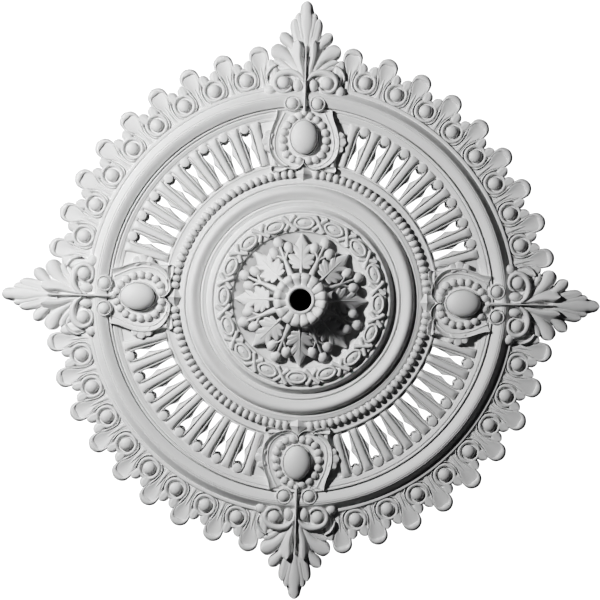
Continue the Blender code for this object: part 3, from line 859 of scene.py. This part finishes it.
def scroll_section(low, start, stop):
    crown = flow((0, start), (1, stop))
    return lambda along, across: low + (crown(along) - low) * np.maximum(0, 1 - across**2) ** 0.45


finials.add(
    strip(
        SCROLL, lobe_width((0, 2.2), (0.2, 4.8), (0.4, 5.2), (0.6, 4.0), (0.85, 2.8), (1, 2.0), tip=0.96),
        scroll_section(18, 26.5, 25), 4, rows=72, columns=10
    ),
    BOTH_SIDES,
)
volute_places = spots(BOTH_SIDES, 31.2, 312.2)
finials.add(dome(15, 15, 10, 19.5, around=28, up=12, fullness=0.6), volute_places)
finials.add(dome(9.6, 9.4, 20.0, 29.0, around=28, up=18, fullness=0.85), volute_places)
finials.add(dome(7.5, 7.5, 16, 23.5, around=24, up=14, fullness=0.85), spots(BOTH_SIDES, 50.6, 300.6))
finials.add(dome(6.6, 9.4, 18, 26.0, around=24, up=14, fullness=0.85), spots(BOTH_SIDES, 11.4, 308.6))
scroll_tail = [(43, 317), (47, 309), (50, 303)]
finials.add(strip(scroll_tail, same(3.6), rounded(12, 21.0, 0.45), 4, rows=14, columns=8), BOTH_SIDES)

# The half leaf beside the finial grows out of the end of the scroll.
half_leaf = [(49.5, 303), (47.0, 316), (47.5, 330), (52.0, 345.5)]
finials.add(
    strip(
        half_leaf, lobe_width((0, 3.4), (0.35, 6.2), (0.7, 8.8), (1, 8.0), tip=0.74),
        leaf_section(11, 17.5, 16.5, 0.9), 4
    ),
    BOTH_SIDES,
)

# A curled edge along the half leaf keeps a thin shadow between the leaf and the scroll.
curl = [(42.5, 337.5), (50.0, 332.5), (55.0, 324.0), (56.0, 317)]
finials.add(
    strip(curl, lobe_width((0, 1.8), (0.4, 3.0), (1, 1.6), tip=0.9), rounded(12, 20.5, 0.5), 4, columns=8),
    BOTH_SIDES
)

# %% Wrap the small balls on the rim
RIM_BALL = (18.2, 282.0)
RING_RADIUS = 10.4
ring = [(RIM_BALL[0] + across, RIM_BALL[1] + along) for across, along in circle(RING_RADIUS, 8)]
finials.add(
    strip(ring, same(2.1), rounded(14, 27.2, 0.5), 10, rows=44, columns=8, spacing=even_rows, closed=True),
    BOTH_SIDES
)
rim_ball_places = [side @ moved(RIM_BALL[0] * MM, RIM_BALL[1] * MM) for side in BOTH_SIDES]
finials.add(dome(8.8, 8.8, 22, 31.0, around=28, up=18, fullness=0.85), rim_ball_places)
finials.hang(WHITE)

# %% [markdown]
# ## The cartouches: a jewel in a row of beads
#
# Each cartouche is a shield that stands over the gallery. Its middle is an oval cabochon with a
# thin lip, then a row of beads, and round them a hollow frame. The frame is one strip that flares
# where it meets the rim and curls in at the foot. Three small lobes clasp it on each side.

# %% Cut the shield and its frame
cartouches = Piece("cartouches")
CABOCHON_RADIUS = 233.8
SHIELD_HALF = [
    (2, 196), (12, 192.5), (26, 190.5), (42, 189), (44, 193), (40, 200), (43, 208), (47, 216), (48.5, 224),
    (48.5, 236), (44, 246), (38, 253), (33, 259), (28, 262), (22, 267), (14, 273), (3, 275),
]
cartouches.add(slab([whole(SHIELD_HALF)], 6, 19.5), AXES)

# The frame, from its top round to its foot: a flat band, a thin fillet and a hollow that rises outwards.
FRAME = [
    (31.5, 269.8), (35.8, 258.5), (41.4, 244.5), (44.6, 227.0), (42.2, 210.0), (34.4, 199.0), (22.8, 191.8),
    (11.4, 190.2), (3.4, 195.6), (1.0, 202),
]
FRAME_SECTION = [
    (-1, 15), (-0.95, 25.0), (-0.84, 26.2), (-0.7, 25.2), (-0.45, 22.8), (-0.15, 21.0), (0.12, 20.5),
    (0.18, 21.6),
    (0.25, 22.1), (0.34, 22.1), (0.41, 21.6), (0.47, 20.4), (1, 19.9),
]


def frame_section(along, across):
    return np.interp(
        across, [place for place, height in FRAME_SECTION], [height for place, height in FRAME_SECTION]
    )


frame_width = lobe_width(
    (0, 9.8), (0.07, 7.4), (0.18, 6.2), (0.35, 6.6), (0.6, 5.8), (0.75, 4.0), (0.9, 2.8), (1, 2.0),
    tip=0.98
)
cartouches.add(strip(FRAME, frame_width, frame_section, 6, rows=80, columns=40), BOTH_SIDES)


def spoon_section(along, across):
    """A raised edge round a hollow."""
    return np.interp(np.abs(across), [0, 0.4, 0.75, 0.9, 1], [19.6, 20.2, 24.8, 25.6, 22.0])


foot = [(21, 191.4), (33, 187.6), (46.5, 187.6)]
foot_width = lobe_width((0, 1.6), (0.4, 3.8), (0.8, 4.9), (1, 4.9), tip=0.88)
cartouches.add(strip(foot, foot_width, spoon_section, 6, rows=30, columns=14), BOTH_SIDES)

fin = [(46.6, 212), (42.8, 201), (41.4, 190.5)]
fin_width = flow((0, 1.4), (0.5, 3.4), (1, 5.6))
cartouches.add(
    strip(fin, fin_width, rounded(15, 23.8, 0.5), 6, rows=20, columns=10, spacing=even_rows), BOTH_SIDES
)

# %% Clasp it with a small leaf of three lobes
CLASPS = [
    ([(48.0, 227.5), (54, 227.5), (60.5, 227.0)], [(0, 8.5), (0.4, 9.2), (1, 8.2)]),
    ([(46.0, 234.0), (51.5, 236.5), (56.5, 239.5)], [(0, 6), (0.5, 7.2), (1, 6.8)]),
    ([(46.5, 220.5), (51.5, 217.8), (56.0, 214.8)], [(0, 6), (0.5, 7.2), (1, 6.8)]),
]
for line, widths in CLASPS:
    clasp = strip(
        line, lobe_width(*widths, tip=0.55), leaf_section(17, 24.5, 24.5, 0.4, 0.4), 6, rows=20, columns=12
    )
    cartouches.add(clasp, BOTH_SIDES)

# %% Set the jewel and its beads
cartouches.add(
    dome(19.4, 24.4, 25.5, 38.5, around=48, up=36, fullness=0.75), spots(AXES, 0, CABOCHON_RADIUS)
)
LIP = [
    (0, 26.2), (14.6, 18.6), (21.0, 0), (14.6, -18.6), (0, -26.2), (-14.6, -18.6), (-21.0, 0),
    (-14.6, 18.6)
]
lip = [(across, along + CABOCHON_RADIUS) for across, along in LIP]
cartouches.add(
    strip(lip, same(1.6), rounded(17, 22.8, 0.5), 10, rows=72, columns=6, spacing=even_rows, closed=True),
    AXES
)
BEAD_ROW = [
    (7.6, 264.8), (17.4, 259.4), (25.0, 251.2), (29.8, 241.0), (31.3, 229.8), (29.9, 218.8), (25.0, 209.0),
    (16.6, 202.4), (6.9, 200.2),
]
row_bead = dome(5.8, 5.8, 20.0, 26.4, around=20, up=12, fullness=0.75)
cartouches.add(row_bead, [side @ moved(x * MM, y * MM) for side in BOTH_SIDES for x, y in BEAD_ROW])
cartouches.add(dome(4.4, 4.8, 22, 28.5, around=16, up=8, fullness=0.8), spots(AXES, 0, 269.5))
cartouches.hang(WHITE)

# %% [markdown]
# ## The ribbon ring: ovals between crossed ribbons
#
# Sixteen almond ovals lie on the inner ring. Each has a thick rim, a dished middle and a small
# pip. Between two of them a pair of ribbons crosses. Two strips cross at each place, one a little
# higher than the other, as woven bands do.

# %% Lay the ribbons and the ovals
ribbons = Piece("ribbon_ring")
RIBBON_UNITS = 16
RIBBON_TURN = 1.7
RIBBON_MIDDLE = 110.6
pitch = 360 / RIBBON_UNITS
ovals = [clockwise(RIBBON_TURN + pitch * count) for count in range(RIBBON_UNITS)]
crossings = [clockwise(RIBBON_TURN + pitch * (count + 0.5)) for count in range(RIBBON_UNITS)]

RIBBON_GROUND = 35.6
DIG = 3.0
ALMOND = [(0, 7.6), (8.2, 6.0), (13.2, 0), (8.2, -6.2), (0, -7.8), (-8.2, -6.2), (-13.2, 0), (-8.2, 6.0)]
almond = [(across, along + RIBBON_MIDDLE) for across, along in ALMOND]
low = RIBBON_GROUND - DIG
rim_section = rounded(RIBBON_GROUND + 0.3, RIBBON_GROUND + 5.6, 0.5)
ribbons.add(
    strip(almond, same(2.5), rim_section, low, rows=48, columns=8, spacing=even_rows, closed=True), ovals
)
oval_middles = spots(ovals, 0, RIBBON_MIDDLE)
ribbons.add(
    dome(11.4, 5.6, RIBBON_GROUND + 0.4, RIBBON_GROUND + 5.2, around=24, up=10, fullness=0.8), oval_middles
)
ribbons.add(dome(1.8, 1.6, RIBBON_GROUND + 4.6, RIBBON_GROUND + 6.4, around=12, up=6), oval_middles)
REACH_IN = 100.6
REACH_OUT = 121.5
for lean, rise in ((1, 4.2), (-1, 5.4)):
    band = [(-8.2 * lean, REACH_IN), (-3.4 * lean, 106), (3.4 * lean, 115.4), (9.6 * lean, REACH_OUT)]
    band_width = lobe_width((0, 3.4), (0.5, 2.9), (1, 3.6), tip=0.97)
    band_section = rounded(RIBBON_GROUND + 0.3, RIBBON_GROUND + rise, 0.45)
    ribbons.add(
        strip(band, band_width, band_section, low, rows=24, columns=8, spacing=even_rows), crossings
    )
ribbons.hang(WHITE)

# %% [markdown]
# ## The foliage: eight leaves and eight sprigs over the recess
#
# The leaves bridge a deep recess, so dark gaps show between them. They are easiest to draw flat
# and then lay over a cone: `lay_over` lifts each point by a height that depends only on its
# distance from the middle. The cone is high at the rosette and low at the ribbon ring.

# %% Lay the leaves over a cone
foliage = Piece("foliage")
CONE = flow((30, 75), (38, 71), (55, 59), (75, 45), (90, 37), (98, 35), (110, 34.6))
LEAF_THICKNESS = 6.0


def lay_over(shape, ground=CONE):
    for vertex in shape.verts:
        vertex.co.z += float(ground(math.hypot(vertex.co.x, vertex.co.y) / MM)) * MM
    return shape


def leaf_part(line, widths, crown, tip, vein=0.0, edge=-1.5, rows=22, columns=10):
    width = lobe_width(*widths, tip=tip)
    return lay_over(
        strip(line, width, leaf_section(edge, crown, crown, vein), -LEAF_THICKNESS, rows, columns)
    )


leaves = [clockwise(360 / 8 * count) for count in range(8)]
leaf_sides = [leaf @ side for leaf in leaves for side in (Matrix.Identity(4), MIRRORED)]
blade = [
    (0, 2.6), (0.22, 2.6), (0.32, 8.0), (0.45, 12.0), (0.57, 8.2), (0.66, 8.0), (0.74, 9.6), (0.82, 6.8),
    (0.92, 3.8), (1, 1.8),
]
foliage.add(leaf_part([(0, 34), (0, 62), (0, 95)], blade, 2.8, 0.95, 0.0, rows=44, columns=14), leaves)
vein = [(0, 2.4), (0.3, 1.9), (0.6, 1.2), (1, 0.7)]
foliage.add(leaf_part([(0, 34), (0, 58), (0, 80)], vein, 3.7, 0.95, columns=6), leaves)
LEAF_LOBES = [
    ([(2, 65), (8.0, 72.5), (14.0, 80.0)], [(0, 4.4), (0.5, 4.6), (0.8, 3.4), (1, 2.2)], 3.0),
    ([(2, 54), (10.0, 59.0), (18.8, 64.0)], [(0, 5), (0.5, 5.8), (1, 3.8)], 3.4),
    ([(2, 51), (10.0, 53.6), (18.0, 54.6)], [(0, 4.6), (0.5, 5.0), (1, 3.6)], 3.0),
    ([(2, 48), (7.5, 47.8), (12.8, 45.8)], [(0, 3.8), (0.5, 4.2), (1, 3.0)], 2.6),
]
for line, widths, crown in LEAF_LOBES:
    foliage.add(leaf_part(line, widths, crown, 0.6, 0.5, rows=18), leaf_sides)

# %% Tie in the sprigs of berries
sprigs = [clockwise(360 / 8 * (count + 0.5)) for count in range(8)]
sprig_sides = [sprig @ side for sprig in sprigs for side in (Matrix.Identity(4), MIRRORED)]
foliage.add(
    leaf_part(
        [(0, 34), (0, 50), (0, 66)], [(0, 4.8), (0.4, 3.9), (0.75, 2.8), (1, 2.6)], 3.6, 0.97, columns=8
    ),
    sprigs
)

twig = [(0, 60), (3.6, 66), (8.6, 71)]
foliage.add(leaf_part(twig, [(0, 2.0), (1, 1.8)], 3.0, 0.97, columns=6, rows=12), sprig_sides)
foliage.add(
    leaf_part([(0, 62), (0, 72), (0, 82)], [(0, 2.0), (1, 2.0)], 3.0, 0.97, columns=6, rows=12), sprigs
)


def berry(across, along, half_width, half_length, rise):
    shape = bmesh.new()
    bmesh.ops.create_uvsphere(shape, u_segments=22, v_segments=14, radius=1)
    bmesh.ops.scale(shape, vec=(half_width * MM, half_length * MM, rise * MM), verts=shape.verts)
    height = float(CONE(math.hypot(across, along))) * MM
    tilt = Matrix.Rotation(-math.radians(28), 4, "X")
    lean = Matrix.Rotation(-math.atan2(across, along), 4, "Z")
    bmesh.ops.transform(
        shape, matrix=moved(across * MM, along * MM, height) @ lean @ tilt, verts=shape.verts
    )
    return shape


foliage.add(berry(0, 87.6, 7.8, 8.6, 7.4), sprigs)
foliage.add(berry(11.2, 75.6, 7.2, 9.2, 7.2), sprig_sides)
foliage.hang(WHITE)

# %% [markdown]
# ## The rosette round the hole
#
# The boss is a turned cup whose face is parted by sixteen flutes. It is spun first, and then each
# point of its face sinks by how close it lies to a flute, so the panels between stay rounded. A
# plain lip rings the hole, and a post carries the boss down into the recess.

# %% Turn and flute the rosette
ROSETTE_PROFILE = [
    (15.5, 10), (15.5, 84.0), (15.8, 87.2), (16.6, 88.2), (18.0, 88.4), (19.2, 88.0), (19.9, 86.8),
    (20.6, 86.2),
    (22.4, 86.2), (24.4, 86.8), (26.6, 87.4), (28.8, 88.8), (31.0, 89.6), (33.2, 89.4), (35.2, 88.0),
    (36.8, 85.8),
    (37.7, 83.2), (37.9, 80.6), (37.2, 78.2), (35.6, 75.8), (33.0, 73.6), (30.0, 70.0), (27.4, 62.0),
    (25.6, 50.0),
    (24.6, 30.0), (24.4, 10),
]
ROSETTE_FLUTES = 16
FLUTE_REACH = 0.17
FLUTE_DEPTH = 2.6
PANEL_BULGE = 0.9
rosette = turned(ROSETTE_PROFILE, 192)
for vertex in rosette.verts:
    radius = math.hypot(vertex.co.x, vertex.co.y) / MM
    turn_angle = math.atan2(vertex.co.x, vertex.co.y)
    panel = (turn_angle * ROSETTE_FLUTES / (2 * math.pi)) % 1.0
    from_flute = min(panel, 1 - panel)
    cut = max(0.0, 1 - from_flute / FLUTE_REACH) ** 1.4
    on_face = max(0.0, min(1.0, (radius - 20.4) / 2.5)) * (1 if vertex.co.z / MM > 72 else 0)
    bulge = PANEL_BULGE * math.sin(math.pi * from_flute) ** 2 * on_face
    vertex.co.z += (bulge - FLUTE_DEPTH * cut * on_face) * MM
    inward = 1 - (1.5 * cut - 0.6) * on_face * max(0.0, (radius - 33) / 5) / radius
    vertex.co.x *= inward
    vertex.co.y *= inward
boss = Piece("rosette")
boss.add(rosette)
boss.hang(WHITE, crease=50)

# %% [markdown]
# ## The stage: the ceiling, the light and the camera
#
# The rose hangs face down, so the camera lies below it and looks straight up. A plain white sheet
# above stands for the ceiling, and only the camera sees it, so that it throws no light on the back
# of the slots. One soft lamp at the upper left gives the crisp shadows of the photo, and a weak
# second lamp fills them. A small near-black disc lies behind the cable hole. It is painted shade,
# standing in for the dark inside the hollow hub.

# %% Build the stage
PAINT_ROUGHNESS = 0.9


def plain_paint(name, colour, glow=0.0):
    box = PaintBox(name)
    box.shader.inputs["Base Color"].default_value = (*colour, 1)
    box.shader.inputs["Roughness"].default_value = PAINT_ROUGHNESS
    if glow:
        box.shader.inputs["Emission Color"].default_value = (*colour, 1)
        box.shader.inputs["Emission Strength"].default_value = glow
    return box.material


def sheet(name, size, height, material):
    shape = bmesh.new()
    bmesh.ops.create_grid(shape, x_segments=1, y_segments=1, size=size)
    bmesh.ops.translate(shape, vec=(0, 0, height), verts=shape.verts)
    mesh = bpy.data.meshes.new(name)
    shape.to_mesh(mesh)
    shape.free()
    mesh.materials.append(material)
    made = bpy.data.objects.new(name, mesh)
    bpy.context.scene.collection.objects.link(made)
    return made


FLOOR_HEIGHT = -4.5
CEILING_HEIGHT = 3.0
floor = sheet("floor", 8, FLOOR_HEIGHT, plain_paint("floor_paint", (0.75, 0.75, 0.75)))
ceiling = sheet("backdrop", 14, CEILING_HEIGHT, plain_paint("backdrop_paint", (1, 1, 1), glow=1.4))
ceiling.visible_diffuse = False
ceiling.visible_glossy = False
ceiling.visible_transmission = False
ceiling.visible_shadow = False

# A near-black disc behind the cable hole: painted shade where the bore is dark.
painted_shade_disc = bmesh.new()
bmesh.ops.create_circle(painted_shade_disc, cap_ends=True, segments=48, radius=2 * BORE_RADIUS * MM)
bmesh.ops.translate(painted_shade_disc, vec=(0, 0, 0.5 * MM), verts=painted_shade_disc.verts)
painted_shade_mesh = bpy.data.meshes.new("hole_shade")
painted_shade_disc.to_mesh(painted_shade_mesh)
painted_shade_disc.free()
painted_shade_mesh.materials.append(plain_paint("hole_painted_shade", (0.008, 0.008, 0.008)))
shade_disc_object = bpy.data.objects.new("hole_shade", painted_shade_mesh)
bpy.context.scene.collection.objects.link(shade_disc_object)

# %% Hang the lamp and set the camera
def area_lamp(name, place, size, power):
    light = bpy.data.lights.new(name, "AREA")
    light.size = size
    light.energy = power
    lamp = bpy.data.objects.new(name, light)
    lamp.location = place
    lamp.rotation_euler = (-Vector(place)).to_track_quat("-Z", "Y").to_euler()
    bpy.context.scene.collection.objects.link(lamp)
    return lamp


KEY_PLACE = (0.92, 0.52, -1.13)
area_lamp("key_lamp", KEY_PLACE, 0.14, 23.0)
area_lamp("fill_lamp", (0.2, 0.1, -2.4), 1.2, 0.3)

world = bpy.data.worlds.new("soft_sky")
world.use_nodes = True
world.node_tree.nodes["Background"].inputs["Color"].default_value = (0.9, 0.93, 1.0, 1)
world.node_tree.nodes["Background"].inputs["Strength"].default_value = 0.02
bpy.context.scene.world = world

# The tone curve of a studio photo: deep shadows, gentle lights, and white above WHITE_LEVEL.
WHITE_LEVEL = 1.3
TONE_CURVE = [
    (0.031, 0.012), (0.062, 0.036), (0.154, 0.19), (0.277, 0.385), (0.46, 0.585), (0.60, 0.70),
    (0.77, 0.82)
]
view = bpy.context.scene.view_settings
view.view_transform = "Standard"
view.use_curve_mapping = True
view.curve_mapping.white_level = (WHITE_LEVEL, WHITE_LEVEL, WHITE_LEVEL)
for shade, shown in TONE_CURVE:
    view.curve_mapping.curves[3].points.new(shade, shown)
view.curve_mapping.update()

VIEW_DISTANCE = 2.6
VIEW_WIDTH = 0.8694
VIEW_ROLL = 1.27
VIEW_ASIDE = 0.9 * MM
camera_data = bpy.data.cameras.new("camera")
camera_data.sensor_width = 36
camera_data.lens = 36 * VIEW_DISTANCE / VIEW_WIDTH
camera = bpy.data.objects.new("camera", camera_data)
camera.matrix_world = (
    Matrix.Translation((VIEW_ASIDE, 0, -VIEW_DISTANCE))
    @ Matrix.Rotation(math.pi, 4, "Y")
    @ Matrix.Rotation(math.radians(VIEW_ROLL), 4, "Z")
)
bpy.context.scene.collection.objects.link(camera)
bpy.context.scene.camera = camera
